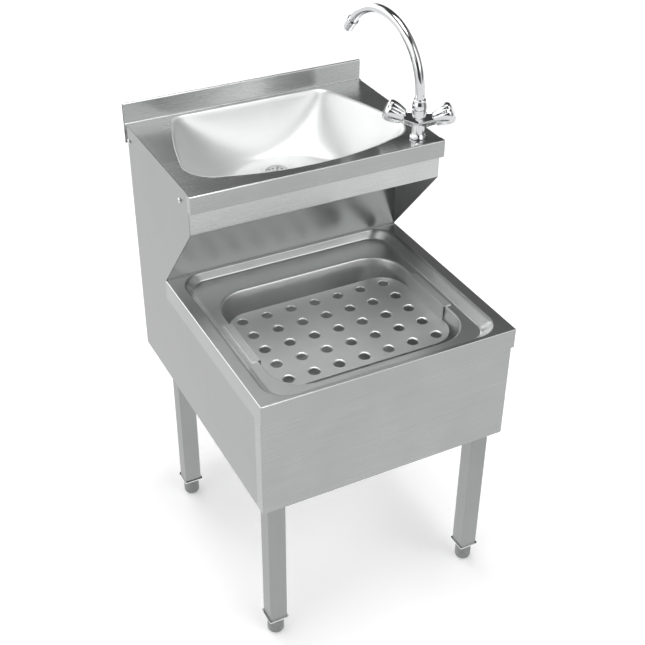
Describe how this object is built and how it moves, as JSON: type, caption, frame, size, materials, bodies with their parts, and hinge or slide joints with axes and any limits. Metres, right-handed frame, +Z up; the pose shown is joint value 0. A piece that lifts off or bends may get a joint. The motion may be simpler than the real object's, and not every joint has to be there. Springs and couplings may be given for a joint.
{
  "type": "combined hand basin and bucket sink",
  "caption": "Floor-standing stainless hand basin with a mixer tap above a deep bucket sink with a lift-out perforated basket, on square legs with levelling feet.",
  "frame": {"origin": "on the floor, under the middle of the unit's 500 by 600 mm plan", "axes": "+Z up; -Y is the front, where the user stands; +X is the user's right"},
  "size_m": [0.5261, 0.6, 1.0501],
  "materials": {
    "brushed_stainless": "fine directional brushed sheet",
    "satin_stainless": "satin polished pressing",
    "bright_steel": "bright plain stainless",
    "leg_cap_steel": "bright pressed steel",
    "foot_grey": "moulded, fine grain",
    "chrome": "polished plating",
    "brass": "turned",
    "black_rubber": "matt",
    "white_plastic": "moulded"
  },
  "bodies": {
    "unit": {"basin_strainer": "bright_steel", "basin_waste_body": "white_plastic", "basin_waste_gasket": "black_rubber", "basin_waste_nut": "white_plastic", "bowl_strainer": "bright_steel", "bowl_waste_body": "white_plastic", "bowl_waste_gasket": "black_rubber", "bowl_waste_nut": "white_plastic", "bucket_bowl": "satin_stainless", "cold_inlet_tail": "brass", "cold_valve": "brass", "deck_nuts": "bright_steel", "deck_screws": "bright_steel", "front_panel": "brushed_stainless", "hand_basin": "satin_stainless", "hot_inlet_tail": "brass", "hot_valve": "brass", "leg_cap_front_left": "leg_cap_steel", "leg_cap_front_right": "leg_cap_steel", "leg_cap_rear_left": "leg_cap_steel", "leg_cap_rear_right": "leg_cap_steel", "leg_front_left": "brushed_stainless", "leg_front_right": "brushed_stainless", "leg_rail_left": "brushed_stainless", "leg_rail_right": "brushed_stainless", "leg_rear_left": "brushed_stainless", "leg_rear_right": "brushed_stainless", "lower_deck": "brushed_stainless", "rear_rail": "brushed_stainless", "side_panel_left": "brushed_stainless", "side_panel_right": "brushed_stainless", "splash_panel": "brushed_stainless", "spout_collar": "chrome", "tap_body": "chrome", "tap_nut": "brass", "tap_seal": "black_rubber", "tap_shank": "brass", "tap_washer": "bright_steel", "upper_apron": "brushed_stainless", "upper_deck": "brushed_stainless"},
    "hot_handle_set": {"hot_handle": "chrome", "hot_spindle": "brass", "hot_handle_screw": "bright_steel", "hot_index_cap": "chrome"},
    "cold_handle_set": {"cold_handle": "chrome", "cold_spindle": "brass", "cold_handle_screw": "bright_steel", "cold_index_cap": "chrome"},
    "spout_set": {"spout": "chrome", "spout_seals": "black_rubber", "nozzle_housing": "chrome", "nozzle_screen": "white_plastic"},
    "basket_body": {"basket": "satin_stainless"},
    "foot_front_left_body": {"foot_front_left": "foot_grey"},
    "foot_front_right_body": {"foot_front_right": "foot_grey"},
    "foot_rear_left_body": {"foot_rear_left": "foot_grey"},
    "foot_rear_right_body": {"foot_rear_right": "foot_grey"}
  },
  "joints": [
    {"name": "hot_handle_turn", "type": "hinge", "parent": "unit", "child": "hot_handle_set", "pos_m": [0.211, 0.001, 0.8664], "axis": [-0.7558, 0.5002, 0.4226], "range_deg": [0, 90]},
    {"name": "cold_handle_turn", "type": "hinge", "parent": "unit", "child": "cold_handle_set", "pos_m": [0.211, 0.001, 0.8664], "axis": [0.7558, -0.5002, 0.4226], "range_deg": [0, 90]},
    {"name": "spout_swivel", "type": "hinge", "parent": "unit", "child": "spout_set", "pos_m": [0.211, 0.001, 0.896], "axis": [0, 0, 1], "continuous": true},
    {"name": "basket_lift", "type": "slide", "parent": "unit", "child": "basket_body", "axis": [0, 0, 1], "range_m": [0, 0.1]},
    {"name": "foot_front_left_level", "type": "slide", "parent": "unit", "child": "foot_front_left_body", "axis": [0, 0, -1], "range_m": [0, 0.02]},
    {"name": "foot_front_right_level", "type": "slide", "parent": "unit", "child": "foot_front_right_body", "axis": [0, 0, -1], "range_m": [0, 0.02]},
    {"name": "foot_rear_left_level", "type": "slide", "parent": "unit", "child": "foot_rear_left_body", "axis": [0, 0, -1], "range_m": [0, 0.02]},
    {"name": "foot_rear_right_level", "type": "slide", "parent": "unit", "child": "foot_rear_right_body", "axis": [0, 0, -1], "range_m": [0, 0.02]}
  ]
}
